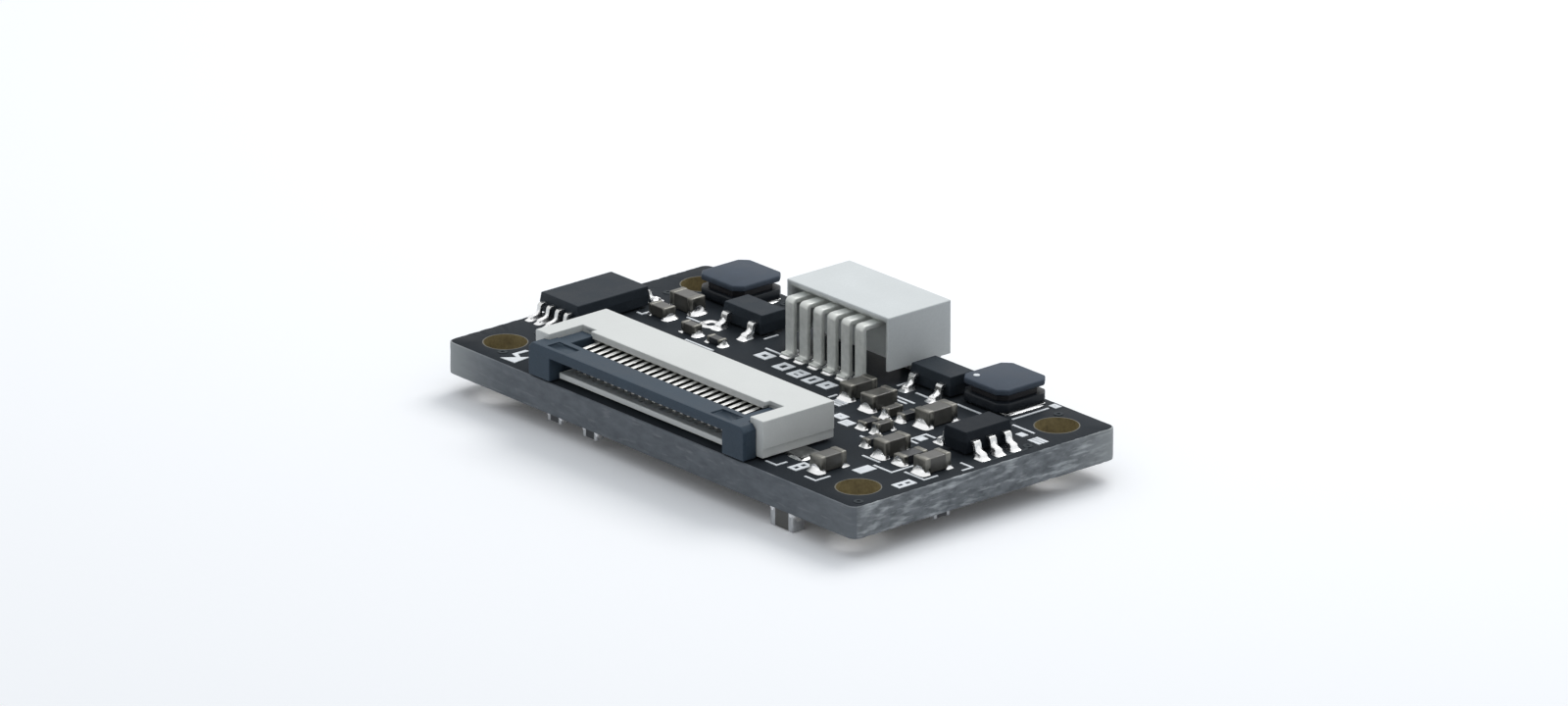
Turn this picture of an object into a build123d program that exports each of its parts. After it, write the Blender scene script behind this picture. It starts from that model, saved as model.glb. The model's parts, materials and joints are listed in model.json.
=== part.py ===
from build123d import *
import os

# A camera module's circuit board, all sizes in millimetres.
# Origin: centre of the four mounting holes, on the board's top face.
# +X runs along the front edge, +Y from the front edge to the back, +Z up.

# Board
board_length = 29.5
board_width = 16.3
board_thickness = 1.6
board_corner = 0.3
hole_diameter = 2.1
hole_inset = 2.0

left = -board_length / 2
right = board_length / 2
front = -board_width / 2
back = board_width / 2
underside = -board_thickness

# Flat-cable connector: white housing, one row of contacts and a dark slider
contact_count = 24
contact_pitch = 0.5
contact_width = 0.24
contact_clearance = 0.03
flat_x = -0.74
flat_width = 16.45
flat_height = 2.0
flat_standoff = 0.15
roof_depth = 2.58
roof_thickness = 0.37
arm_width = 0.95
arm_length = 1.77
end_step = 0.05
end_step_top = 0.62
tongue_top = 0.47
tongue_bottom = 0.17
tongue_side_gap = 0.08
tongue_setback = 0.55
comb_setback = 0.4
slot_floor = 0.13
slot_end_wall = 0.4
cavity_end_wall = 1.35
corner_notch = (1.0, 0.33, 0.5)

# Forked contact: a spine, an upper beam, a lower beam with a nose and a solder tail
spine_depth = 0.55
beam_clearance = 0.04
upper_beam_reach = 0.97
upper_beam_bend = 0.3
upper_beam_root = 0.18
upper_beam_tip = 0.14
upper_beam_droop = 0.1
lower_beam_root = 0.15
nose_setback = 0.8
nose_height = 0.15
nose_length = 0.75
nose_flat = 0.2
tail_length = 0.55
tail_thickness = 0.13
tail_step = 0.15

# Slider, closed at rest, pulled out along -Y
slider_overhang = 0.1
slider_width = 15.54
slider_height = 1.75
slider_standoff = 0.1
slider_block_depth = 0.82
slider_bar_depth = 1.3
slider_bar_thickness = 0.5
slider_mouth = 12.5
slider_chamfer = 0.25
slider_gap = 0.03
slider_travel = 1.0
rail_clearance = 0.075
rail_length = 2.05
rail_bottom = 0.25
rail_top = 1.7
key_depth = 0.25
key_length = 0.7
key_bottom = 0.6
key_top = 1.1
key_setback = 0.15
wedge_thickness = 0.24
wedge_reach = 1.05
wedge_side_gap = 0.1
wedge_root = 0.4
wedge_fall = 0.03
grip_pocket = (1.5, 0.75, 0.1)
grip_inset = 1.1
grip_setback = 0.3

# Metal hold-downs of the flat-cable connector
hold_thickness = 0.2
hold_length = 1.2
hold_height = 0.85
hold_inset = 0.47
hold_reach = 1.45
hold_setback = 0.275

# Wire socket: white housing with its mouth at the back edge, six bent pins
pin_count = 6
pin_pitch = 1.0
pin_width = 0.6
pin_thickness = 0.28
pin_top = 2.92
pin_forward = 0.85
pin_foot = 0.3
pin_foot_thickness = 0.2
pin_bend = 0.27
pin_tip_setback = 0.6
socket_x = 0.0
socket_width = 7.3
socket_depth = 3.95
socket_bottom = 0.7
socket_top = 3.38
socket_edge = 0.55
socket_side_wall = 0.4
socket_recess = 1.2
socket_lip = 0.43
socket_rear_wall = 0.6
socket_roof = 0.32
socket_floor = 0.4
socket_rail_width = 0.6
socket_rail_length = 1.2
socket_rail_setback = 0.5
socket_key_width = 0.5
socket_key_depth = 0.2
tab_thickness = 0.15
tab_length = 1.2
tab_reach = 0.55
tab_rise = 1.0
tab_setback = 0.5

# Moulded chips
chip_gap = 0.1
chip_draft = 7
parting_share = 0.55
lead_thickness = 0.15
shoulder_share = 0.3

memory_size = (2.85, 4.5)
memory_inset = 1.45
memory_y = -0.15
memory_top = 1.1
memory_lead_count = 4
memory_pitch = 0.65
memory_lead_width = 0.25
memory_lead_reach = 1.0

regulator_size = (2.85, 1.6)
regulator_pitch = 0.95
regulator_lead_width = 0.4
regulator_lead_reach = 0.78
small_regulator_top = 1.1
right_regulator_top = 1.2

# Drum inductors
inductor_size = 3.1
inductor_height = 1.28
inductor_chamfer = 0.42
inductor_top_flange = 0.32
inductor_bottom_flange = 0.5
inductor_post = 1.4
winding_inset = 0.25
inductor_pad_thickness = 0.1
inductor_pad_width = 0.75
inductor_pad_length = 2.4

# Processor on the hidden underside, and the room below the board
underside_room = 1.0
processor_size = 7.0
processor_pad_count = 12
processor_pad_pitch = 0.5
processor_pad_width = 0.25
processor_pad_length = 0.4
processor_pad_thickness = 0.05
heat_pad_margin = 1.2

# Plating wrapped round both ends of a chip capacitor or resistor
plating = 0.03
plated_share = 0.22

# Ceramic capacitors: name, x, y, length, width, height, long axis
capacitors = [
    ("capacitor_1", 3.70, 1.75, 1.70, 0.85, 0.80, "Y"),
    ("capacitor_2", 5.45, 1.50, 1.60, 0.90, 0.80, "Y"),
    ("capacitor_3", 8.77, 2.15, 1.85, 1.00, 0.85, "Y"),
    ("capacitor_4", 8.00, -0.50, 1.00, 0.50, 0.50, "Y"),
    ("capacitor_5", right - 4.25, -2.10, 1.65, 0.85, 0.85, "Y"),
    ("capacitor_6", right - 1.45, -2.10, 1.60, 0.90, 0.80, "Y"),
    ("capacitor_7", flat_x + flat_width / 2 + 2.51, front + 2.55, 1.60, 0.85, 0.80, "Y"),
    ("capacitor_8", left + 4.25, 3.30, 1.65, 0.90, 0.85, "X"),
    ("capacitor_9", left + 4.15, 1.80, 1.20, 0.75, 0.60, "X"),
    ("capacitor_10", left + 6.90, 1.30, 1.00, 0.55, 0.55, "X"),
    ("capacitor_11", 6.75, 1.20, 1.00, 0.50, 0.50, "Y"),
]

# Chip resistors in the same order of values
resistors = [
    ("resistor_1", right - 3.00, -2.05, 1.55, 0.75, 0.45, "Y"),
    ("resistor_2", left + 8.75, 1.30, 1.00, 0.50, 0.35, "X"),
    ("resistor_3", right - 5.75, -2.00, 1.00, 0.50, 0.40, "Y"),
    ("resistor_4", 7.10, -0.55, 1.05, 0.55, 0.35, "Y"),
    ("resistor_5", 7.60, 1.40, 1.00, 0.50, 0.40, "Y"),
]

# Chip parts under the board in the same order of values
under_parts = [
    ("under_capacitor", right - 5.35, front + 0.60, 1.60, 0.80, underside_room, "X"),
    ("under_resistor_1", left + 7.75, front + 0.45, 1.00, 0.50, 0.42, "X"),
    ("under_resistor_2", left + 10.35, front + 0.45, 1.00, 0.50, 0.50, "X"),
    ("under_resistor_3", right - 0.75, -2.30, 1.00, 0.50, 0.45, "Y"),
]

# Regulators: name, x, y, turn about Z, top, leads in front, leads behind
regulators = [
    ("left_regulator", left + 8.15, 4.20, 0, small_regulator_top, 2, 3),
    ("centre_regulator", socket_x + 5.55, 5.40, 0, small_regulator_top, 2, 3),
    ("right_regulator", right - 2.39, 1.53, 90, right_regulator_top, 3, 2),
]

# Drum inductors: name, x, y
inductors = [
    ("left_inductor", left + 4.68, back - 1.85),
    ("right_inductor", socket_x + 8.80, back - 1.75),
]

# Lines shared by the pieces of the flat-cable connector
flat_front = front - slider_overhang
arm_front = flat_front + slider_block_depth + slider_gap
roof_front = arm_front + arm_length
flat_rear = roof_front + roof_depth
arm_inner = flat_width / 2 - arm_width
roof_under = flat_height - roof_thickness
slot_bottom = tongue_bottom + slot_floor
slot_rear = flat_rear - slot_end_wall
cavity_rear = flat_rear - cavity_end_wall
beam_top = roof_under - beam_clearance

# Lines shared by the pieces of the wire socket
socket_mouth = back - socket_edge
socket_back_wall = socket_mouth - socket_depth
pin_wall = socket_back_wall + socket_recess
cavity_front = pin_wall + socket_rear_wall
cavity_floor = socket_bottom + socket_floor


def block(x0, x1, y0, y1, z0, z1):
    """A box between two corners."""
    return Pos((x0 + x1) / 2, (y0 + y1) / 2, (z0 + z1) / 2) * Box(x1 - x0, y1 - y0, z1 - z0)


def mirrored(solid):
    """A solid and its mirror image across the YZ plane."""
    return [solid, mirror(solid, about=Plane.YZ)]


def side_profile(points, width):
    """An outline of (y, z) points, as a plate of the given width centred on x = 0."""
    outline = make_face(Polyline(*points, close=True))
    return extrude(Plane.YZ * outline, amount=width / 2, both=True)


def row(count, pitch):
    """Places of a row centred on zero."""
    return [(i - (count - 1) / 2) * pitch for i in range(count)]


def circuit_board():
    plate = Rectangle(board_length, board_width)
    plate = fillet(plate.vertices(), board_corner)
    hole_x = board_length / 2 - hole_inset
    hole_y = board_width / 2 - hole_inset
    for x in (-hole_x, hole_x):
        for y in (-hole_y, hole_y):
            plate -= Pos(x, y) * Circle(hole_diameter / 2)
    return extrude(plate, amount=-board_thickness)


def flat_hold_downs():
    """Two bent tabs: a blade pressed up into each arm and a foot soldered to the board."""
    inner = arm_inner + hold_inset
    y0 = roof_front - hold_setback
    blade = block(inner, inner + hold_thickness, y0, y0 + hold_length,
                  0, flat_standoff + hold_height)
    foot = block(inner, inner + hold_reach, y0, y0 + hold_length, 0, flat_standoff)
    return [Pos(flat_x, 0, 0) * piece for piece in mirrored(blade + foot)]


def slider_key_slots():
    """Grooves in the arms that the slider's keys run and stop in."""
    key_back = roof_front - key_setback
    slot = block(arm_inner - 0.01, arm_inner + key_depth,
                 key_back - key_length - slider_travel - rail_clearance,
                 key_back + rail_clearance,
                 key_bottom - rail_clearance, key_top + rail_clearance)
    return mirrored(slot)


def flat_housing():
    half = flat_width / 2
    cavity_half = slider_mouth / 2 - tongue_side_gap
    body = block(-half, half, roof_front, flat_rear, flat_standoff, flat_height)
    for arm in mirrored(block(arm_inner, half, arm_front, roof_front, flat_standoff, flat_height)):
        body += arm
    body += block(-cavity_half, cavity_half, flat_front + tongue_setback, roof_front,
                  tongue_bottom, tongue_top)
    body -= block(-cavity_half, cavity_half, roof_front, cavity_rear, tongue_top, roof_under)
    rail_end = arm_front + rail_length + rail_clearance
    for pocket in mirrored(block(cavity_half, arm_inner, roof_front - 0.01, rail_end,
                                 rail_bottom - rail_clearance, rail_top + rail_clearance)):
        body -= pocket
    notch_width, notch_depth, notch_drop = corner_notch
    for notch in mirrored(block(arm_inner - notch_width, arm_inner, roof_front,
                                roof_front + notch_depth, flat_height - notch_drop, flat_height)):
        body -= notch
    for step in mirrored(block(half - end_step, half, arm_front, flat_rear,
                               flat_standoff, end_step_top)):
        body -= step
    for slot in slider_key_slots():
        body -= slot
    slot_width = contact_width + 2 * contact_clearance
    comb_front = flat_front + tongue_setback + comb_setback
    comb = [Pos(x, 0, 0) * block(-slot_width / 2, slot_width / 2, comb_front, slot_rear,
                                 slot_bottom, beam_top + contact_clearance)
            for x in row(contact_count, contact_pitch)]
    comb += [Pos(x, 0, 0) * block(-slot_width / 2, slot_width / 2, slot_rear, flat_rear,
                                  flat_standoff, slot_bottom + upper_beam_droop)
             for x in row(contact_count, contact_pitch)]
    body -= comb
    return Pos(flat_x, 0, 0) * body - flat_hold_downs()


def flat_contacts():
    """Forked contacts: a spine, an upper beam, a lower beam with a nose, and a solder tail."""
    spine = slot_rear - spine_depth
    tip = roof_front - upper_beam_reach
    nose = flat_front + tongue_setback + nose_setback
    nose_middle = nose + nose_length / 2
    knee = slot_bottom + upper_beam_droop
    profile = [
        (flat_rear + tail_length, 0), (flat_rear + tail_length, tail_thickness),
        (flat_rear - 0.1, tail_thickness), (flat_rear - 0.1 - tail_step, knee), (slot_rear, knee),
        (slot_rear, beam_top), (roof_front + upper_beam_bend, beam_top), (tip, beam_top - upper_beam_droop),
        (tip, beam_top - upper_beam_droop - upper_beam_tip), (spine, beam_top - upper_beam_root),
        (spine, tongue_top + lower_beam_root), (spine - lower_beam_root, tongue_top),
        (nose + nose_length, tongue_top), (nose_middle + nose_flat / 2, tongue_top + nose_height),
        (nose_middle - nose_flat / 2, tongue_top + nose_height), (nose, tongue_top),
        (nose, slot_bottom), (slot_rear, slot_bottom), (slot_rear + 0.05, 0),
    ]
    plate = side_profile(profile, contact_width)
    return [Pos(flat_x + x, 0, 0) * plate for x in row(contact_count, contact_pitch)]


def slider():
    """The slider: two end blocks, a bar over the mouth, a wedge behind it and two keyed rails."""
    half = slider_width / 2
    mouth = slider_mouth / 2
    block_back = flat_front + slider_block_depth
    bar_back = flat_front + slider_bar_depth
    bar_bottom = slider_height - slider_bar_thickness
    rail_outer = arm_inner - rail_clearance
    body = block(-half, half, flat_front, block_back, slider_standoff, slider_height)
    corners = body.edges().filter_by(Axis.Y).group_by(Axis.Z)[-1]
    body = chamfer(corners, slider_chamfer)
    body += block(-rail_outer, rail_outer, block_back, bar_back, bar_bottom, slider_height)
    body -= block(-mouth, mouth, flat_front, block_back, slider_standoff, bar_bottom)
    pocket_width, pocket_depth, pocket_drop = grip_pocket
    pocket_back = bar_back - grip_setback
    for pocket in mirrored(block(half - grip_inset - pocket_width, half - grip_inset,
                                 pocket_back - pocket_depth, pocket_back,
                                 slider_height - pocket_drop, slider_height)):
        body -= pocket
    for rail in mirrored(block(mouth + tongue_side_gap, rail_outer, block_back,
                               arm_front + rail_length, rail_bottom, rail_top)):
        body += rail
    key_back = roof_front - key_setback
    for key in mirrored(block(rail_outer, rail_outer + key_depth, key_back - key_length,
                              key_back, key_bottom, key_top)):
        body += key
    wedge_half = mouth - wedge_side_gap
    wedge_front = bar_back - wedge_root
    wedge_back = bar_back + wedge_reach
    wedge_top = bar_bottom - wedge_fall
    wedge = side_profile([
        (wedge_front, bar_bottom), (wedge_front + wedge_thickness, wedge_top - wedge_thickness),
        (wedge_back, wedge_top - wedge_fall - wedge_thickness / 2),
        (wedge_back, wedge_top - wedge_fall),
        (bar_back, wedge_top), (bar_back, bar_bottom),
    ], 2 * wedge_half)
    return Pos(flat_x, 0, 0) * (body + wedge)


def socket_tabs():
    """Two tabs: a blade in each side wall of the socket and a foot soldered to the board."""
    outer = socket_width / 2 - (socket_side_wall - tab_thickness) / 2
    y1 = socket_mouth - tab_setback
    blade = block(outer - tab_thickness, outer, y1 - tab_length, y1, 0, socket_bottom + tab_rise)
    foot = block(outer - tab_thickness, outer + tab_reach, y1 - tab_length, y1, 0, tab_thickness)
    return [Pos(socket_x, 0, 0) * piece for piece in mirrored(blade + foot)]


def socket_pins():
    """Flat pins that leave the rear wall near its top and bend down to the board."""
    leg = socket_back_wall - pin_forward
    inner = leg + pin_thickness
    tip = socket_mouth - pin_tip_setback
    outline = make_face(Polyline(
        (tip, pin_top), (tip, pin_top - pin_thickness), (inner, pin_top - pin_thickness),
        (inner, 0), (leg - pin_foot, 0), (leg - pin_foot, pin_foot_thickness),
        (leg, pin_foot_thickness), (leg, pin_top), close=True))
    upper = [v for v in outline.vertices() if abs(v.X - leg) < 0.01 and v.Y > 1]
    lower = [v for v in outline.vertices() if abs(v.X - inner) < 0.01 and v.Y < 1]
    outline = fillet(upper + lower, pin_bend)
    pin = extrude(Plane.YZ * outline, amount=pin_width / 2, both=True)
    return [Pos(socket_x + x, 0, 0) * pin for x in row(pin_count, pin_pitch)]


def socket_housing():
    half = socket_width / 2
    cavity_half = half - socket_side_wall
    body = block(-half, half, socket_back_wall, socket_mouth, socket_bottom, socket_top)
    body -= block(-cavity_half, cavity_half, socket_back_wall, pin_wall,
                  socket_bottom, socket_top - socket_lip)
    body -= block(-cavity_half, cavity_half, cavity_front, socket_mouth,
                  cavity_floor, socket_top - socket_roof)
    for key in mirrored(block(cavity_half - socket_key_width, cavity_half,
                              cavity_front, socket_mouth,
                              cavity_floor - socket_key_depth, cavity_floor)):
        body -= key
    rail_rear = socket_mouth - socket_rail_setback
    for rail in mirrored(block(cavity_half - 2 * socket_rail_width, cavity_half - socket_rail_width,
                               rail_rear - socket_rail_length, rail_rear, 0, socket_bottom)):
        body += rail
    body = Pos(socket_x, 0, 0) * body
    return body - socket_pins() - socket_tabs()


def chip_body(size, top):
    """A moulded body, drawn in above and below the line where its leads leave."""
    parting = chip_gap + (top - chip_gap) * parting_share
    outline = Pos(0, 0, parting) * Rectangle(*size)
    upper = extrude(outline, amount=top - parting, taper=chip_draft)
    lower = extrude(outline, amount=-(parting - chip_gap), taper=chip_draft)
    return upper + lower


def gull_lead(width, reach, top):
    """A lead that leaves a body's face at y = 0 and steps down to a foot towards -Y."""
    t = lead_thickness
    out = chip_gap + (top - chip_gap) * parting_share + t / 2
    shoulder = reach * shoulder_share
    heel = shoulder + t
    return side_profile([
        (0, out), (-shoulder, out), (-shoulder - t * 0.6, out - t * 0.6),
        (-heel - t * 0.2, t * 1.5), (-heel - t * 0.8, t), (-reach, t), (-reach, 0),
        (-heel + t * 0.2, 0), (-heel + t * 0.8, t * 0.6), (-shoulder + t * 0.4, out - t * 1.3),
        (-shoulder + t * 0.1, out - t), (0, out - t),
    ], width)


def chip_leads(size, top, width, reach, front_row, back_row):
    """Leads along both long edges of a body that is centred on the origin."""
    lead = Pos(0, -size[1] / 2, 0) * gull_lead(width, reach, top)
    leads = [Pos(x, 0, 0) * lead for x in front_row]
    leads += [Pos(x, 0, 0) * (Rot(0, 0, 180) * lead) for x in back_row]
    return leads


def memory_chip():
    place = Pos(left + memory_inset, memory_y, 0)
    places = row(memory_lead_count, memory_pitch)
    leads = chip_leads(memory_size, memory_top, memory_lead_width, memory_lead_reach, places, places)
    body = place * chip_body(memory_size, memory_top)
    return body, [place * lead for lead in leads]


def regulator(x, y, turn, top, front_count, back_count):
    """A small chip whose two long edges carry rows of equal length."""
    place = Pos(x, y, 0) * Rot(0, 0, turn)
    span = 2 * regulator_pitch
    rows = [row(count, span / (count - 1)) for count in (front_count, back_count)]
    leads = chip_leads(regulator_size, top, regulator_lead_width, regulator_lead_reach, *rows)
    return place * chip_body(regulator_size, top), [place * lead for lead in leads]


def octagon(size):
    outline = Rectangle(size, size)
    return chamfer(outline.vertices(), inductor_chamfer)


def inductor(x, y):
    """A ferrite drum, the coated winding between its flanges and two pads below."""
    place = Pos(x, y, 0)
    bottom_top = inductor_pad_thickness + inductor_bottom_flange
    top_under = inductor_height - inductor_top_flange
    flange = octagon(inductor_size)
    core = extrude(Pos(0, 0, inductor_pad_thickness) * flange, amount=inductor_bottom_flange)
    core += extrude(Pos(0, 0, top_under) * flange, amount=inductor_top_flange)
    post = Pos(0, 0, bottom_top) * Cylinder(inductor_post / 2, top_under - bottom_top,
                                            align=(Align.CENTER, Align.CENTER, Align.MIN))
    winding_outline = octagon(inductor_size - 2 * winding_inset)
    winding = extrude(Pos(0, 0, bottom_top) * winding_outline, amount=top_under - bottom_top) - post
    half = inductor_size / 2
    pads = mirrored(block(half - inductor_pad_width, half, -inductor_pad_length / 2,
                          inductor_pad_length / 2, 0, inductor_pad_thickness))
    return place * (core + post), place * winding, [place * pad for pad in pads]


def chip_part(x, y, length, width, height, axis, floor=0.0):
    """A ceramic block with a plated cup on each end, standing on or under a face."""
    turn = Rot(0, 0, 90 if axis == "Y" else 0)
    place = Pos(x, y, floor) * turn
    band = length * plated_share
    core = block(-length / 2 + plating, length / 2 - plating, -width / 2 + plating,
                 width / 2 - plating, plating, height - plating)
    cup = block(length / 2 - band, length / 2, -width / 2, width / 2, 0, height) - core
    return place * core, [place * piece for piece in mirrored(cup)]


def processor():
    """A leadless package under the board, with a row of pads on each side."""
    z1 = underside - processor_pad_thickness
    half = processor_size / 2
    body = block(-half, half, -half, half, underside - underside_room, z1)
    pad = block(-processor_pad_width / 2, processor_pad_width / 2,
                half - processor_pad_length, half, z1, underside)
    pads = [Rot(0, 0, turn) * (Pos(x, 0, 0) * pad)
            for turn in (0, 90, 180, 270)
            for x in row(processor_pad_count, processor_pad_pitch)]
    heat_pad = half - heat_pad_margin
    pads.append(block(-heat_pad, heat_pad, -heat_pad, heat_pad, z1, underside))
    return body, pads


def build():
    nodes = {
        "circuit_board": circuit_board(),
        "ffc_housing": flat_housing(),
        "ffc_contacts": flat_contacts(),
        "ffc_hold_downs": flat_hold_downs(),
        "ffc_slider": slider(),
        "wire_socket_housing": socket_housing(),
        "wire_socket_pins": socket_pins(),
        "wire_socket_hold_downs": socket_tabs(),
    }
    nodes["memory_chip_body"], nodes["memory_chip_leads"] = memory_chip()
    for name, *values in regulators:
        nodes[name + "_body"], nodes[name + "_leads"] = regulator(*values)
    for name, x, y in inductors:
        core, winding, pads = inductor(x, y)
        nodes[name + "_core"] = core
        nodes[name + "_winding"] = winding
        nodes[name + "_pads"] = pads
    for group, parts in (("capacitor_terminals", capacitors), ("resistor_terminals", resistors)):
        nodes[group] = []
        for name, *size in parts:
            nodes[name], cups = chip_part(*size)
            nodes[group] += cups
    nodes["under_terminals"] = []
    for name, x, y, length, width, height, axis in under_parts:
        nodes[name], cups = chip_part(x, y, length, width, height, axis, underside - height)
        nodes["under_terminals"] += cups
    nodes["processor_body"], nodes["processor_pads"] = processor()
    return nodes


os.makedirs("parts", exist_ok=True)
for node, shape in build().items():
    whole = Compound(children=shape) if isinstance(shape, list) else shape
    export_step(whole, f"parts/{node}.step")
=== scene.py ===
import json
import math

import bmesh
import bpy
from mathutils import Matrix, Vector, noise


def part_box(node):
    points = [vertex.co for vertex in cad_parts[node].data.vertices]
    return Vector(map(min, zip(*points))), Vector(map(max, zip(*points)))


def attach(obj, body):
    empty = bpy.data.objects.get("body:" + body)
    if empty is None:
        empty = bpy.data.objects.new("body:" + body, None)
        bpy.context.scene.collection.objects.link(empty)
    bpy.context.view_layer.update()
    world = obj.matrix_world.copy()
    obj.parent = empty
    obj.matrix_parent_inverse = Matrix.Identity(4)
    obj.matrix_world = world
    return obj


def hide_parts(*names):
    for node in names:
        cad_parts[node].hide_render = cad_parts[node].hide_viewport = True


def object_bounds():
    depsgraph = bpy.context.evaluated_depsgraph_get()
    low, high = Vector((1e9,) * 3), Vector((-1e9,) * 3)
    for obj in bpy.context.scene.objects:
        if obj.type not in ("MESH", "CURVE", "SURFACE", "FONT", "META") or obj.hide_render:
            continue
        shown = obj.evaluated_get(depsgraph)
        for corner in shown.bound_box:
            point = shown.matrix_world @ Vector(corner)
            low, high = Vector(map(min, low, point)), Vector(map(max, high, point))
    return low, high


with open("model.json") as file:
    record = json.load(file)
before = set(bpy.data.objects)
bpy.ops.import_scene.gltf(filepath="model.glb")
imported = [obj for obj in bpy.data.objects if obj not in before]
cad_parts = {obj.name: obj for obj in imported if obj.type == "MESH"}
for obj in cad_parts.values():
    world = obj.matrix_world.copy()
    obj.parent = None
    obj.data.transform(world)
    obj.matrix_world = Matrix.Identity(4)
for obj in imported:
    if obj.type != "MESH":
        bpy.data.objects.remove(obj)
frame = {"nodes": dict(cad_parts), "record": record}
nodes = frame["nodes"]
cad_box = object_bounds()

MM = 0.001


def box_in_mm(node):
    """The lowest and the highest corner of a CAD node, in millimetres."""
    return [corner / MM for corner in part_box(node)]


# Board
BOARD_LOW, BOARD_HIGH = box_in_mm("circuit_board")
PATTERN = next(mount["dims"] for mount in frame["record"]["mounts"] if mount["name"] == "mounting_holes")
HOLE_RADIUS = PATTERN["hole_r_mm"]
HOLE_RIM = 0.05
HOLE_STEPS = 48
HOLES = [(x * PATTERN["spacing_x_mm"] / 2, y * PATTERN["spacing_y_mm"] / 2)
         for x in (-1, 1) for y in (-1, 1)]

# Camera, fitted to the photograph
PHOTO_WIDTH = 1600
FOCAL_LENGTH_IN_PIXELS = 13000
CAMERA_AZIMUTH = 49.2
CAMERA_ELEVATION = 20.3
CAMERA_DISTANCE = 600
CAMERA_ASIDE = 0.25
CAMERA_ABOVE = 1.42
SENSOR_WIDTH = 36
CAMERA_LENS = SENSOR_WIDTH * FOCAL_LENGTH_IN_PIXELS / PHOTO_WIDTH


def link_object(name, data):
    made = bpy.data.objects.new(name, data)
    bpy.context.scene.collection.objects.link(made)
    return made


# Shader building blocks

# The middle band of a noise texture's values
NOISE_LOW, NOISE_HIGH = 0.3, 0.7
# The colour inputs and the colour output of a mix node
MIX_INPUTS = (6, 7)
MIX_OUTPUT = 2


def new_group(name, inputs, outputs):
    """An empty shader node group with float inputs and outputs."""
    group = bpy.data.node_groups.new(name, "ShaderNodeTree")
    for label, value in inputs:
        socket = group.interface.new_socket(label, in_out="INPUT", socket_type="NodeSocketFloat")
        socket.default_value = value
    for label in outputs:
        group.interface.new_socket(label, in_out="OUTPUT", socket_type="NodeSocketFloat")
    return group, group.nodes.new("NodeGroupInput"), group.nodes.new("NodeGroupOutput")


def feed(tree, socket, value):
    """Gives an input a number, a colour or a link from another node."""
    if isinstance(value, (int, float)):
        socket.default_value = value
    elif isinstance(value, tuple):
        socket.default_value = (*value, 1.0)
    else:
        tree.links.new(value, socket)


def feed_node(tree, node, **values):
    """Feeds a node's inputs by their labels."""
    for label, value in values.items():
        feed(tree, node.inputs[label.replace("_", " ")], value)


def math_node(tree, operation, *values):
    """A math node fed by sockets or plain numbers."""
    node = tree.nodes.new("ShaderNodeMath")
    node.operation = operation
    for place, value in enumerate(values):
        feed(tree, node.inputs[place], value)
    return node.outputs[0]


def mix_colours(tree, mask, first, second):
    """Mixes two colours, each plain or from another node, by a mask."""
    mix = tree.nodes.new("ShaderNodeMix")
    mix.data_type = "RGBA"
    feed(tree, mix.inputs["Factor"], mask)
    for place, value in zip(MIX_INPUTS, (first, second)):
        feed(tree, mix.inputs[place], value)
    return mix.outputs[MIX_OUTPUT]


def object_millimetres(tree, stretch=(1, 1, 1)):
    """Object coordinates in millimetres, stretched along an axis if wanted."""
    place = tree.nodes.new("ShaderNodeTexCoord")
    scaled = tree.nodes.new("ShaderNodeVectorMath")
    scaled.operation = "MULTIPLY"
    scaled.inputs[1].default_value = [share / MM for share in stretch]
    tree.links.new(place.outputs["Object"], scaled.inputs[0])
    return scaled.outputs[0]


def noise_node(tree, coordinates, scale, detail=3.0, roughness=0.55):
    """A noise texture at a number of waves per millimetre."""
    texture = tree.nodes.new("ShaderNodeTexNoise")
    feed_node(tree, texture, Vector=coordinates, Scale=scale, Detail=detail, Roughness=roughness)
    return texture.outputs[0]


def spread_node(tree, value, low, high):
    """A noise value mapped from its middle band onto low to high."""
    ranged = tree.nodes.new("ShaderNodeMapRange")
    feed_node(tree, ranged, Value=value, From_Min=NOISE_LOW, From_Max=NOISE_HIGH, To_Min=low, To_Max=high)
    return ranged.outputs["Result"]


def make_mottle():
    """Soft uneven patches over finer specks, as a mask from 0 to 1."""
    group, start, end = new_group(
        "mottle", [("Patches per mm", 1.0), ("Specks per mm", 8.0), ("Speck share", 0.4)], ["Mask"])
    place = object_millimetres(group)
    patches = noise_node(group, place, start.outputs["Patches per mm"])
    specks = noise_node(group, place, start.outputs["Specks per mm"], detail=2.0)
    share = start.outputs["Speck share"]
    rest = math_node(group, "SUBTRACT", 1.0, share)
    mixed = math_node(group, "ADD", math_node(group, "MULTIPLY", patches, rest),
                      math_node(group, "MULTIPLY", specks, share))
    feed_node(group, end, Mask=spread_node(group, mixed, 0.0, 1.0))
    return group


def make_grain():
    """Fine moulding or plating grain, as a height."""
    group, start, end = new_group("grain", [("Grains per mm", 12.0)], ["Height"])
    grains = noise_node(group, object_millimetres(group), start.outputs["Grains per mm"], detail=4.0)
    feed_node(group, end, Height=grains)
    return group


# Glass fibres of a cut edge: how flat and fine they lie, and which turn pale
STREAK_STRETCH = (0.5, 0.5, 2.6)
STREAKS_PER_MM = 1.7
PIT_STRETCH = (0.5, 0.5, 1.1)
PITS_PER_MM = 2.3
PALE_FROM = 0.6
PALE_SHIFT = 0.12
PALE_GAIN = 4.2


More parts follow.
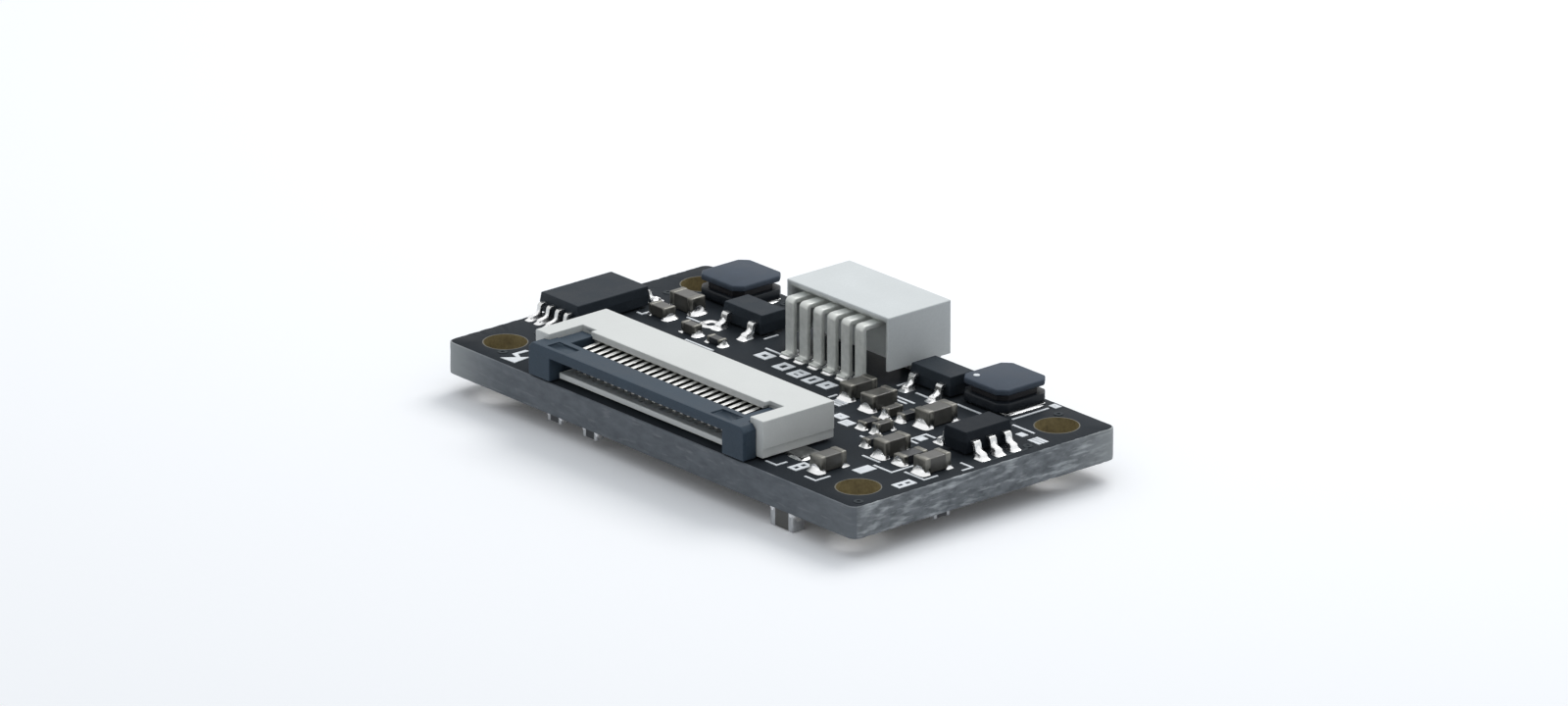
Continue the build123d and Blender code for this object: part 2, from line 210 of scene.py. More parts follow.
def make_fibres():
    """Cut glass fibres on a routed edge: pale streaks along the board and dark pits."""
    group, start, end = new_group(
        "cut_fibres", [("Streak share", 0.5)], ["Streaks", "Pits", "Height"])
    streaks = noise_node(group, object_millimetres(group, STREAK_STRETCH), STREAKS_PER_MM,
                         detail=3.5, roughness=0.5)
    pits = noise_node(group, object_millimetres(group, PIT_STRETCH), PITS_PER_MM,
                      detail=4.0, roughness=0.6)
    shift = math_node(group, "MULTIPLY", start.outputs["Streak share"], PALE_SHIFT)
    pale = math_node(group, "SUBTRACT", streaks, math_node(group, "SUBTRACT", PALE_FROM, shift))
    pale = math_node(group, "MULTIPLY", math_node(group, "MAXIMUM", pale, 0.0), PALE_GAIN)
    feed_node(group, end, Streaks=pale, Pits=spread_node(group, pits, 0.0, 1.0),
              Height=math_node(group, "ADD", streaks, pits))
    return group


# The board's corner at +X and -Y has this share of the painted light that brightens its other corners
LEAST_CORNER_LIGHT = 0.1


def make_corner_light():
    """A mask of painted light that grows towards the board's corners."""
    group, start, end = new_group("painted_light_on_corners", [("Reach in mm", 5.0)], ["Mask"])
    axes = group.nodes.new("ShaderNodeSeparateXYZ")
    group.links.new(object_millimetres(group), axes.inputs[0])
    gaps = [math_node(group, "SUBTRACT", half, math_node(group, "ABSOLUTE", axes.outputs[i]))
            for i, half in enumerate((BOARD_HIGH.x, BOARD_HIGH.y))]
    far = math_node(group, "DIVIDE", math_node(group, "ADD", *gaps), start.outputs["Reach in mm"])
    near = math_node(group, "MAXIMUM", math_node(group, "SUBTRACT", 1.0, far), 0.0)
    near = math_node(group, "POWER", near, 2.0)
    lean = math_node(group, "DIVIDE", math_node(group, "SUBTRACT", *axes.outputs[:2]),
                     BOARD_HIGH.x + BOARD_HIGH.y)
    share = math_node(group, "MINIMUM", math_node(group, "SUBTRACT", 1 + LEAST_CORNER_LIGHT, lean), 1.0)
    feed_node(group, end, Mask=math_node(group, "MULTIPLY", near, share))
    return group


MOTTLE = make_mottle()
GRAIN = make_grain()
FIBRES = make_fibres()
CORNER_LIGHT = make_corner_light()


class Finish:
    """A material under construction: its tree and its Principled shader."""

    def __init__(self, name, roughness, metallic=0.0, specular=0.5):
        self.material = bpy.data.materials.new(name)
        self.material.use_nodes = True
        self.tree = self.material.node_tree
        self.shader = self.tree.nodes["Principled BSDF"]
        self.feed_shader(Roughness=roughness, Metallic=metallic, Specular_IOR_Level=specular)

    def feed_shader(self, **values):
        feed_node(self.tree, self.shader, **values)

    def effect(self, group, output, **values):
        """Places a shared effect with its own values and gives one of its outputs."""
        node = self.tree.nodes.new("ShaderNodeGroup")
        node.node_tree = group
        feed_node(self.tree, node, **values)
        return node.outputs[output]

    def colour(self, mask, first, second):
        """Gives the surface two colours, mixed by a mask."""
        self.feed_shader(Base_Color=mix_colours(self.tree, mask, first, second))

    def rough(self, mask, low, high):
        self.feed_shader(Roughness=spread_node(self.tree, mask, low, high))

    def bump(self, height, strength, depth):
        """Depth is the height of the grain in millimetres."""
        node = self.tree.nodes.new("ShaderNodeBump")
        feed_node(self.tree, node, Strength=strength, Distance=depth * MM, Height=height)
        self.feed_shader(Normal=node.outputs[0])


UNEVEN_MOULDING = 0.06
GRAINS_PER_SPECK = 1.4


def moulded(name, dark, light, roughness, patches=0.6, specks=14.0, depth=0.006, specular=0.5):
    """Moulded plastic or compound: two close tones, satin, with a fine grain."""
    finish = Finish(name, roughness, specular=specular)
    mask = finish.effect(MOTTLE, "Mask", Patches_per_mm=patches, Specks_per_mm=specks)
    finish.colour(mask, dark, light)
    finish.rough(mask, roughness - UNEVEN_MOULDING, roughness + UNEVEN_MOULDING)
    grain = finish.effect(GRAIN, "Height", Grains_per_mm=specks * GRAINS_PER_SPECK)
    finish.bump(grain, strength=0.35, depth=depth)
    return finish.material


def plated(name, dark, light, roughness, grains=9.0, depth=0.01, strength=0.4, uneven=0.12, metallic=1.0):
    """Plated or soldered metal, with dull and bright patches that differ in roughness."""
    finish = Finish(name, roughness, metallic)
    mask = finish.effect(MOTTLE, "Mask", Patches_per_mm=3.0, Specks_per_mm=grains, Speck_share=0.5)
    finish.colour(mask, dark, light)
    finish.rough(mask, roughness - uneven, roughness + uneven)
    finish.bump(finish.effect(GRAIN, "Height", Grains_per_mm=grains), strength, depth)
    return finish.material


# Pale laminate colour painted towards the board's corners, as painted light that they catch
CORNER_LIGHT_LAMINATE = (0.42, 0.435, 0.43)


def laminate_edge(name, dark, middle, pale, streak_share, depth):
    """The cut side of the board: glass layers in dark resin, with pale torn fibres."""
    finish = Finish(name, roughness=0.66, specular=0.3)
    pitted = mix_colours(finish.tree, finish.effect(FIBRES, "Pits"), dark, middle)
    streaks = finish.effect(FIBRES, "Streaks", Streak_share=streak_share)
    streaked = mix_colours(finish.tree, streaks, pitted, pale)
    # Towards the corners the side is painted paler, as painted light
    finish.colour(finish.effect(CORNER_LIGHT, "Mask"), streaked, CORNER_LIGHT_LAMINATE)
    finish.bump(finish.effect(FIBRES, "Height"), strength=0.7, depth=depth)
    return finish.material


MATERIALS = {
    "mask": moulded("black_solder_mask", (0.017, 0.0205, 0.0245), (0.034, 0.04, 0.047),
                    roughness=0.6, patches=0.35, specks=9.0, specular=0.05),
    "track": moulded("masked_copper", (0.029, 0.036, 0.041), (0.046, 0.054, 0.06),
                     roughness=0.55, specks=9.0, specular=0.08),
    "torn_edge": laminate_edge("torn_laminate", (0.105, 0.115, 0.124), (0.25, 0.266, 0.278),
                               (0.56, 0.58, 0.59), streak_share=0.8, depth=0.06),
    "cut_edge": laminate_edge("cut_laminate", (0.11, 0.122, 0.136), (0.161, 0.176, 0.192),
                              (0.24, 0.25, 0.26), streak_share=0.2, depth=0.012),
    "drilled": moulded("drilled_laminate", (0.16, 0.122, 0.054), (0.375, 0.298, 0.145),
                       roughness=0.6, patches=1.5, specks=8.0),
    "rim": moulded("bare_laminate_rim", (0.085, 0.08, 0.062), (0.16, 0.15, 0.12),
                   roughness=0.55, patches=2.0, specks=8.0),
    "ink": moulded("white_board_ink", (0.66, 0.68, 0.7), (0.88, 0.9, 0.92),
                   roughness=0.55, patches=2.5, specks=12.0),
    "ivory": moulded("ivory_housing", (0.68, 0.685, 0.655), (0.76, 0.765, 0.735),
                     roughness=0.4, patches=0.3, specks=10.0, specular=0.4),
    "socket": moulded("grey_white_housing", (0.62, 0.642, 0.635), (0.71, 0.732, 0.725),
                      roughness=0.45, patches=0.3, specks=10.0, specular=0.35),
    "slate": moulded("slate_slider", (0.036, 0.053, 0.073), (0.06, 0.084, 0.11),
                     roughness=0.5, patches=0.5, specks=10.0, specular=0.15),
    "chip": moulded("chip_compound", (0.02, 0.026, 0.033), (0.034, 0.043, 0.053),
                    roughness=0.55, patches=0.8, specks=16.0, depth=0.012, specular=0.12),
    # The right regulator's compound: a little more matt, and darker as painted shade where the light falls
    # off to the right
    "chip_matt_shaded": moulded("matt_chip_compound_painted_shade", (0.011, 0.014, 0.018), (0.021, 0.026, 0.033),
                         roughness=0.6, patches=0.8, specks=16.0, depth=0.012, specular=0.08),
    "ferrite": moulded("fired_ferrite", (0.046, 0.059, 0.08), (0.076, 0.094, 0.121),
                       roughness=0.55, patches=1.2, depth=0.012, specular=0.12),
    # The drums' ferrite below the upper flange: the same ferrite, darker as painted shade
    "shaded_ferrite": moulded("ferrite_painted_shade", (0.01, 0.013, 0.017), (0.018, 0.022, 0.028),
                       roughness=0.4, patches=1.2, depth=0.012, specular=0.2),
    "winding": moulded("coated_winding", (0.01, 0.01, 0.012), (0.018, 0.018, 0.021),
                       roughness=0.55, patches=2.0, specks=12.0, specular=0.3),
    "capacitor": moulded("capacitor_ceramic", (0.044, 0.042, 0.036), (0.072, 0.069, 0.06),
                         roughness=0.36, patches=2.0, specks=16.0, depth=0.001, specular=0.8),
    "resistor": moulded("resistor_overglaze", (0.016, 0.018, 0.022), (0.03, 0.033, 0.038),
                        roughness=0.35, patches=2.0, specks=16.0),
    "tin": plated("tinned_lead", (0.55, 0.56, 0.56), (0.8, 0.81, 0.8),
                  roughness=0.28, depth=0.002, uneven=0.06),
    "pin": plated("tinned_pin", (0.66, 0.675, 0.635), (0.82, 0.83, 0.79),
                  roughness=0.42, grains=4.0, depth=0.001, strength=0.05, uneven=0.05, metallic=0.3),
    "dull_tin": plated("dull_tin", (0.13, 0.135, 0.135), (0.24, 0.245, 0.245),
                       roughness=0.42, grains=5.0, depth=0.004, strength=0.2),
    "solder": plated("bright_solder", (0.84, 0.85, 0.86), (0.97, 0.97, 0.97),
                     roughness=0.28, grains=3.0, depth=0.004, strength=0.1, uneven=0.06),
    "contact": plated("spring_contact", (0.8, 0.8, 0.775), (0.92, 0.92, 0.9),
                      roughness=0.35, depth=0.002, uneven=0.06),
    # The contacts' cut sides: bare metal, made darker as painted shade in the gaps between the contacts
    "cut_side_and_shade": plated("cut_contact_side_painted_shade", (0.07, 0.07, 0.068), (0.14, 0.14, 0.135),
                       roughness=0.5, depth=0.002),
    "end_cap": plated("dull_end_plating", (0.13, 0.13, 0.116), (0.25, 0.245, 0.225),
                      roughness=0.42, grains=5.0, depth=0.008, strength=0.3),
    # The same end plating made lighter for the parts below the board, as painted light in their shade
    "lit_end_cap": plated("end_plating_painted_light", (0.42, 0.43, 0.44), (0.62, 0.63, 0.64),
                         roughness=0.42, grains=5.0, depth=0.008, strength=0.3, metallic=0.45),
}


# Mesh building blocks

# Corners nearer than this are one, and edges with less of a bend than this are flat
WELD_DISTANCE = 0.0005
FLAT_BEND = math.radians(1)
SHARP_BEND = math.radians(25)
# An edge that meets a shorter one than this would squeeze every rounding, and stays sharp
ROOM_TO_ROUND = 0.095


def welded(node):
    """A CAD node's mesh in millimetres, with its split corners joined again."""
    mesh = bmesh.new()
    mesh.from_mesh(nodes[node].data)
    bmesh.ops.scale(mesh, vec=(1 / MM,) * 3, verts=mesh.verts)
    bmesh.ops.remove_doubles(mesh, verts=mesh.verts, dist=WELD_DISTANCE)
    return mesh


def islands(node):
    """The lowest and highest corner of each separate solid in a node, in millimetres."""
    mesh = welded(node)
    boxes = []
    left = set(mesh.verts)
    while left:
        group = [left.pop()]
        for vert in group:
            for edge in vert.link_edges:
                other = edge.other_vert(vert)
                if other in left:
                    left.remove(other)
                    group.append(other)
        boxes.append([Vector(pick(v.co[i] for v in group) for i in range(3)) for pick in (min, max)])
    mesh.free()
    return sorted(boxes, key=lambda box: (round(box[0].x, 3), round(box[0].y, 3), box[0].z))


def finish_piece(name, mesh, finishes, body="board", smooth=35, replaces=()):
    """Turns a mesh in millimetres into a riding piece with its finishes."""
    bmesh.ops.recalc_face_normals(mesh, faces=mesh.faces)
    bmesh.ops.scale(mesh, vec=(MM,) * 3, verts=mesh.verts)
    data = bpy.data.meshes.new(name)
    mesh.to_mesh(data)
    mesh.free()
    for finish in finishes:
        data.materials.append(MATERIALS[finish])
    piece = link_object(name, data)
    if smooth:
        data.shade_smooth()
        data.set_sharp_from_angle(angle=math.radians(smooth))
    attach(piece, body)
    if replaces:
        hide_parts(*replaces)
    return piece


def even_shading(piece):
    """Keeps the shading of large flat faces flat beside their rounded edges."""
    piece.modifiers.new("even_shading", "WEIGHTED_NORMAL").keep_sharp = True


def join_flat_faces(mesh):
    bmesh.ops.dissolve_limit(mesh, angle_limit=FLAT_BEND, verts=mesh.verts, edges=mesh.edges)


def round_edges(mesh, edges, radius, segments=3):
    """Rounds edges, or cuts them off where there is one segment."""
    bmesh.ops.bevel(mesh, geom=edges, offset=radius, segments=segments, profile=0.5,
                    affect="EDGES", clamp_overlap=True)


def soften(mesh, radius, shortest=0.0):
    """Joins flat faces, then rounds the sharp edges that are at least so long and have room."""
    join_flat_faces(mesh)
    edges = [e for e in mesh.edges
             if len(e.link_faces) == 2 and e.calc_face_angle(0) > SHARP_BEND
             and e.calc_length() >= shortest
             and all(near.calc_length() > ROOM_TO_ROUND for v in e.verts for near in v.link_edges)]
    round_edges(mesh, edges, radius)
    bmesh.ops.remove_doubles(mesh, verts=mesh.verts, dist=WELD_DISTANCE)
    bmesh.ops.dissolve_degenerate(mesh, dist=WELD_DISTANCE, edges=mesh.edges)


def softened_piece(node, name, finish, radius, shortest, body="board"):
    """A piece that stands for a CAD node and has its form, with rounded edges."""
    mesh = welded(node)
    soften(mesh, radius, shortest)
    even_shading(finish_piece(name, mesh, [finish], body, replaces=[node]))


def dress(node, finish, radius):
    """Gives a CAD node that stays its finish and a bevel over its own mesh."""
    piece = nodes[node]
    piece.data.materials.clear()
    piece.data.materials.append(MATERIALS[finish])
    weld = piece.modifiers.new("weld", "WELD")
    weld.merge_threshold = WELD_DISTANCE * MM
    flat = piece.modifiers.new("flat", "DECIMATE")
    flat.decimate_type = "DISSOLVE"
    flat.angle_limit = FLAT_BEND
    bevel = piece.modifiers.new("bevel", "BEVEL")
    bevel.width = radius * MM
    bevel.segments = 2
    bevel.limit_method = "ANGLE"
    bevel.angle_limit = SHARP_BEND
    bevel.harden_normals = True


def add_circle(mesh, x, y, radius, z, steps):
    """Adds a loop of corners on a circle."""
    return [mesh.verts.new((x + radius * math.cos(2 * math.pi * i / steps),
                            y + radius * math.sin(2 * math.pi * i / steps), z))
            for i in range(steps)]


def bridge(mesh, a, b):
    """Adds the faces between two closed loops of as many corners, and gives them."""
    return [mesh.faces.new((p, q, s, r)) for p, q, r, s in zip(a, a[1:] + a[:1], b, b[1:] + b[:1])]


def add_rounded_box(mesh, low, high, radius):
    made = bmesh.ops.create_cube(mesh, size=1.0)["verts"]
    bmesh.ops.scale(mesh, vec=high - low, verts=made)
    bmesh.ops.translate(mesh, vec=(low + high) / 2, verts=made)
    round_edges(mesh, list({e for v in made for e in v.link_edges}), radius)


def add_ring(mesh, x, y, outer, inner, z0, z1, steps=18, crown=0.0):
    """Adds a ring that is flat on top, or higher along its middle by a crown."""
    profile = (outer, z0), (outer, z1), ((outer + inner) / 2, z1 + crown), (inner, z1), (inner, z0)
    loops = [add_circle(mesh, x, y, radius, z, steps) for radius, z in profile]
    for a, b in zip(loops, loops[1:] + loops[:1]):
        bridge(mesh, a, b)


# A disc's side height and the reach of its top, as shares
DISC_SIDE = 0.6
DISC_TOP = 0.93


def add_disc(mesh, x, y, radius, z0, z1, steps=24):
    """Adds a flat disc with a slightly rounded edge."""
    profile = (radius, z0), (radius, z0 + (z1 - z0) * DISC_SIDE), (radius * DISC_TOP, z1)
    loops = [add_circle(mesh, x, y, reach, z, steps) for reach, z in profile]
    for a, b in zip(loops, loops[1:]):
        bridge(mesh, a, b)
    mesh.faces.new(loops[-1])
    mesh.faces.new(loops[0][::-1])


def add_prism(mesh, points, z0, z1):
    """Adds a flat plate with the outline of the points."""
    under, over = ([mesh.verts.new((x, y, z)) for x, y in points] for z in (z0, z1))
    mesh.faces.new(over)
    mesh.faces.new(under[::-1])
    bridge(mesh, under, over)


# A track's top is narrower than its foot, and its bends are mitred up to a limit
TRACK_TOP_SHARE = 0.85
MITRE_LIMIT = 0.5


def add_track(mesh, points, width, z0, z1):
    """Adds a flat strip along a line of points, with mitred bends."""
    points = [Vector(p) for p in points]
    sides = []
    for i, place in enumerate(points):
        before = (place - points[i - 1]).normalized() if i else None
        after = (points[i + 1] - place).normalized() if i + 1 < len(points) else None
        along = (before or after) + (after or before)
        normal = Vector((-along.y, along.x)).normalized()
        facing = Vector((-(after or before).y, (after or before).x))
        sides.append(normal * (width / 2 / max(normal.dot(facing), MITRE_LIMIT)))
    rows = [[mesh.verts.new((*(p + n * share), z)) for p, n in zip(points, sides)]
            for share, z in ((1, z0), (TRACK_TOP_SHARE, z1), (-TRACK_TOP_SHARE, z1), (-1, z0))]
    for a, b in zip(rows, rows[1:] + rows[:1]):
        for i in range(len(points) - 1):
            mesh.faces.new((a[i], a[i + 1], b[i + 1], b[i]))
    for end in (0, -1):
        mesh.faces.new([row[end] for row in rows])


# Solder round a foot: its plan, its uneven edge, its hollow slope and its upper side
PLAN_POWER = 5
LUMP_SHARE = 0.12
LUMPS_PER_MM = 3.7
LUMP_RISE = 0.8
SLOPE_HOLLOW = 2.3
CLIMB_CURVE = 1.1
INNER_PLAN = 0.5
INNER_EDGE_LEVEL = 0.4
INNER_MEAN_LEVEL = 0.68
TOP_LEVEL = 1.1
# The sides of a foot: -x, +x, -y and +y
LEFT, RIGHT, FRONT, BACK = range(4)


def side_towards(axis, forwards):
    return 2 * axis + int(forwards)


def by_side(value, side, here, opposite=None):
    """A value for each side of a foot, with its own at one side and, if wanted, opposite it."""
    values = [value] * 4
    values[side] = here
    if opposite is not None:
        values[side ^ 1] = opposite
    return values


def around(steps):
    """Directions round a rounded rectangle, each with how far its outline reaches there."""
    for i in range(steps):
        angle = 2 * math.pi * (i + 0.5) / steps
        c, s = math.cos(angle), math.sin(angle)
        yield c, s, (abs(c) ** PLAN_POWER + abs(s) ** PLAN_POWER) ** (-1 / PLAN_POWER)


def add_collar(mesh, low, high, spares, heights, base=0.0, up=1, crown=1.0, steps=28, rings=7):
    """Adds solder that wets a foot: it climbs the metal and thins out in a hollow curve to its pad.

    spares and heights are by side: how far out the solder runs over the pad, and how high it
    climbs there. crown is the height over the foot as a share of the mean."""
    centre_x, centre_y = (low[0] + high[0]) / 2, (low[1] + high[1]) / 2
    half_x, half_y = (high[0] - low[0]) / 2, (high[1] - low[1]) / 2
    loops = []
    for k in range(rings + 1):
        t = k / rings
        loop = []
        for c, s, reach in around(steps):
            side_x, side_y = (RIGHT if c > 0 else LEFT), (BACK if s > 0 else FRONT)
            place = Vector((centre_x * LUMPS_PER_MM + c, centre_y * LUMPS_PER_MM + s, LUMP_RISE * t))
            run = (1 - t) ** SLOPE_HOLLOW * (1 + LUMP_SHARE * noise.noise(place))
            x = centre_x + (half_x + spares[side_x] * run) * c * reach
            y = centre_y + (half_y + spares[side_y] * run) * s * reach
            climb = heights[side_x] * c * c + heights[side_y] * s * s
            loop.append(mesh.verts.new((x, y, base + up * climb * t ** CLIMB_CURVE)))
        loops.append(loop)
    mean = sum(heights) / 4
    inner = []
    for (c, s, reach), edge in zip(around(steps), loops[-1]):
        x = centre_x + half_x * INNER_PLAN * c * reach
        y = centre_y + half_y * INNER_PLAN * s * reach
        level = (edge.co.z - base) * up * INNER_EDGE_LEVEL + mean * crown * INNER_MEAN_LEVEL
        inner.append(mesh.verts.new((x, y, base + up * level)))
    loops.append(inner)
    top = mesh.verts.new((centre_x, centre_y, base + up * mean * crown * TOP_LEVEL))
    bottom = mesh.verts.new((centre_x, centre_y, base))
    for i in range(steps):
        j = (i + 1) % steps
        mesh.faces.new((top, inner[i], inner[j]))
        for a, b in zip(loops, loops[1:]):
            mesh.faces.new((a[i], a[j], b[j], b[i]))
        mesh.faces.new((bottom, loops[0][j], loops[0][i]))


# The board

BOARD_FINISHES = ["mask", "torn_edge", "drilled", "rim", "cut_edge"]
BOARD_CORNER = 0.45
CORNER_STEPS = 6
OUTLINE_STEP = 0.12
# Levels of the board's side as shares from its top
SIDE_LEVELS = (0.0, 0.02, 0.06, 0.2, 0.34, 0.48, 0.62, 0.76, 0.9, 0.96, 0.985, 1.0)
# How far the side is rounded off above and below, and over what share of the thickness
SIDE_ROUND = 0.05
SIDE_ROUND_SHARE = 0.03
# How deep the cut bites at the torn short ends and along the clean long sides
TORN_BITE = 0.05
CLEAN_BITE = 0.008
TORN_WIDTH = 0.05
TORN_FINISH_WIDTH = 0.08
MEAN_BITE = 0.35
BITES_PER_MM = (2.3, 2.3, 5.0)


def board_outline():
    """Points round the board, with its rounded corners."""
    x, y, r = BOARD_HIGH.x - BOARD_CORNER, BOARD_HIGH.y - BOARD_CORNER, BOARD_CORNER
    arcs = []
    for quarter, (cx, cy) in enumerate([(x, y), (-x, y), (-x, -y), (x, -y)]):
        angles = [math.radians(90 * (quarter + k / CORNER_STEPS)) for k in range(CORNER_STEPS + 1)]
        arcs.append([(cx + r * math.cos(angle), cy + r * math.sin(angle)) for angle in angles])
    points = []
    for arc, following in zip(arcs, arcs[1:] + arcs[:1]):
        (ax, ay), (bx, by) = arc[-1], following[0]
        count = int(math.hypot(bx - ax, by - ay) / OUTLINE_STEP)
        points += arc
        points += [(ax + (bx - ax) * k / count, ay + (by - ay) * k / count) for k in range(1, count)]
    return points


def paint_board(faces, finish):
    for face in faces:
        face.material_index = BOARD_FINISHES.index(finish)


def add_board_side(mesh):
    """Adds the board's routed side, and gives its loops from top to bottom."""
    outline = board_outline()
    loops = []
    for share in SIDE_LEVELS:
        z = BOARD_HIGH.z + (BOARD_LOW.z - BOARD_HIGH.z) * share
        rounded = SIDE_ROUND * max(0.0, 1 - min(share, 1 - share) / SIDE_ROUND_SHARE) ** 2
        loop = []
        for x, y in outline:
            inward = Vector((-x / BOARD_HIGH.x, -y / BOARD_HIGH.y, 0))
            depth = TORN_BITE if abs(x) > BOARD_HIGH.x - TORN_WIDTH else CLEAN_BITE
            place = Vector(value * waves for value, waves in zip((x, y, z), BITES_PER_MM))
            bite = noise.fractal(place, 0.6, 2.1, 3)
            step = rounded + depth * max(0.0, MEAN_BITE + bite)
            loop.append(mesh.verts.new((x + inward.x * step, y + inward.y * step, z)))
        loops.append(loop)
    for a, b in zip(loops, loops[1:]):
        for face, (x, y) in zip(bridge(mesh, a, b), outline):
            torn = abs(x) > BOARD_HIGH.x - TORN_FINISH_WIDTH
            paint_board([face], "torn_edge" if torn else "cut_edge")
    return loops


def board_piece():
    """The laminate: slightly rough routed sides, drilled holes and flat masked faces."""
    mesh = bmesh.new()
    side = add_board_side(mesh)
    borders = [side[0]], [side[-1]]
    for x, y in HOLES:
        bores, rims = [], []
        for z in (BOARD_HIGH.z, BOARD_LOW.z):
            bores.append(add_circle(mesh, x, y, HOLE_RADIUS, z, HOLE_STEPS))
            rims.append(add_circle(mesh, x, y, HOLE_RADIUS + HOLE_RIM, z, HOLE_STEPS))
        paint_board(bridge(mesh, *bores), "drilled")
        for bore, rim, loops in zip(bores, rims, borders):
            paint_board(bridge(mesh, bore, rim), "rim")
            loops.append(rim)
    for loops in borders:
        edges = [mesh.edges.get(ends) for loop in loops for ends in zip(loop, loop[1:] + loop[:1])]
        bmesh.ops.triangle_fill(mesh, edges=edges, use_beauty=True, use_dissolve=False)
    finish_piece("board_laminate", mesh, BOARD_FINISHES, smooth=40, replaces=["circuit_board"])


# What lies on the board reaches this far into it
BURIED = 0.01
INK_THICKNESS = 0.034
STROKE_WIDTH = 0.12
# Printed marks in white ink: strokes (x0, y0, x1, y1) along x or y
STROKES = [
    (7.7, 4.45, 9.3, 4.45), (5.3, 4.0, 6.2, 4.0), (10.85, 5.0, 10.85, 7.4), (3.95, 3.9, 3.95, 5.2),
    (11.45, 4.6, 12.85, 4.6), (10.2, -7.15, 10.9, -7.15), (10.9, -7.15, 10.9, -6.2),
    (9.9, -3.35, 11.0, -3.35), (11.2, -3.8, 12.4, -3.8), (12.4, -3.8, 12.4, -2.2),
    (12.8, -3.3, 14.1, -3.3), (14.1, -3.3, 14.1, -2.4), (7.5, -7.2, 8.2, -7.2), (8.2, -7.2, 8.2, -6.5),
    (-4.95, 3.3, -4.95, 4.3), (-9.6, 2.55, -8.8, 2.55), (-11.7, 1.2, -11.4, 1.2), (-11.4, 1.2, -11.4, 2.6),
    (7.3, 2.8, 7.3, 3.5), (7.0, 3.5, 7.6, 3.5), (5.0, 3.0, 6.2, 3.0), (5.0, 2.7, 6.0, 2.7),
    (3.0, 0.45, 3.0, 1.1), (9.7, 0.7, 10.3, 0.7), (9.7, -0.4, 10.3, -0.4), (9.7, -0.4, 9.7, 0.7),
    (7.9, -1.75, 8.5, -1.75), (-3.9, 2.6, -2.7, 2.6), (-7.3, 0.5, -5.4, 0.5),
    (13.6, -0.55, 14.35, -0.55), (14.35, -1.25, 14.35, -0.55),
]
# Blocks (x, y, width, length, holes)
BLOCKS = [
    (11.28, -4.5, 0.65, 1.0, 0), (13.75, 4.08, 0.8, 0.62, 2), (12.65, 4.05, 0.5, 0.4, 0),
    (10.0, 0.15, 0.42, 0.5, 0), (-3.2, 1.9, 0.85, 0.75, 1), (-1.5, 1.6, 0.8, 0.85, 1),
    (-0.3, 1.5, 0.8, 0.9, 2), (0.75, 1.45, 0.7, 0.9, 1), (1.75, 1.5, 0.75, 0.8, 1),
    (3.85, 0.35, 0.8, 0.6, 2), (5.3, -0.75, 0.7, 0.55, 1), (6.15, -1.1, 0.7, 0.6, 2),
    (13.9, -4.35, 0.6, 1.1, 2), (9.05, -6.5, 0.62, 1.05, 2), (10.85, 7.75, 0.5, 0.4, 1),
    (4.1, -0.9, 0.7, 0.5, 1), (2.7, 2.2, 0.3, 0.75, 0),
]
# Width of a block's bars as a share of its own, a little uneven
BAR_SHARE = 0.34
BAR_UNEVEN = 0.05
RUNG_SHARE = 0.9
# Mark of the flat cable's first way: a triangle with a bent tail
ARROW = [
    (-11.2, -7.75), (-10.2, -7.7), (-10.32, -6.65), (-10.6, -7.0), (-11.02, -6.8), (-10.98, -6.15),
    (-11.2, -6.2), (-11.22, -7.0), (-10.72, -7.15),
]


def add_open_block(mesh, x, y, width, length, holes, z0, z1):
    """Adds a plain printed block with small openings in a row along its length."""
    bar = width * (BAR_SHARE + BAR_UNEVEN * math.sin(7 * x + 5 * y)) if holes else width / 3
    rung = bar * RUNG_SHARE
    slot = (length - rung * (holes + 1)) / max(holes, 1)
    across = [x - width / 2, x - width / 2 + bar, x + width / 2 - bar, x + width / 2]
    along = [y - length / 2]
    for _ in range(holes):
        along += [along[-1] + rung, along[-1] + rung + slot]
    along.append(y + length / 2)
    under, over = ([[mesh.verts.new((px, py, z)) for py in along] for px in across] for z in (z0, z1))
    columns, rows = len(across) - 1, len(along) - 1

    def filled(i, j):
        return 0 <= i < columns and 0 <= j < rows and not (i == 1 and j % 2)

    for i, j in ((i, j) for i in range(columns) for j in range(rows) if filled(i, j)):
        corners = [(i, j), (i + 1, j), (i + 1, j + 1), (i, j + 1)]
        mesh.faces.new([over[a][b] for a, b in corners])
        mesh.faces.new([under[a][b] for a, b in reversed(corners)])
        beyond = [(i, j - 1), (i + 1, j), (i, j + 1), (i - 1, j)]
        for (a, b), (c, d), cell in zip(corners, corners[1:] + corners[:1], beyond):
            if not filled(*cell):
                mesh.faces.new((under[a][b], under[c][d], over[c][d], over[a][b]))


def printed_marks():
    mesh = bmesh.new()
    under, top = BOARD_HIGH.z - BURIED, BOARD_HIGH.z + INK_THICKNESS
    half = STROKE_WIDTH / 2
    for x0, y0, x1, y1 in STROKES:
        x0, x1, y0, y1 = min(x0, x1) - half, max(x0, x1) + half, min(y0, y1), max(y0, y1)
        y0, y1 = (y0 - half, y1 + half) if y0 == y1 else (y0 + half, y1 - half)
        add_prism(mesh, [(x0, y0), (x1, y0), (x1, y1), (x0, y1)], under, top)
    for block in BLOCKS:
        add_open_block(mesh, *block, under, top)
    add_prism(mesh, ARROW, under, top)
    finish_piece("printed_marks", mesh, ["ink"], smooth=0)


TRACK_WIDTH = 0.16
TRACK_HEIGHT = 0.018
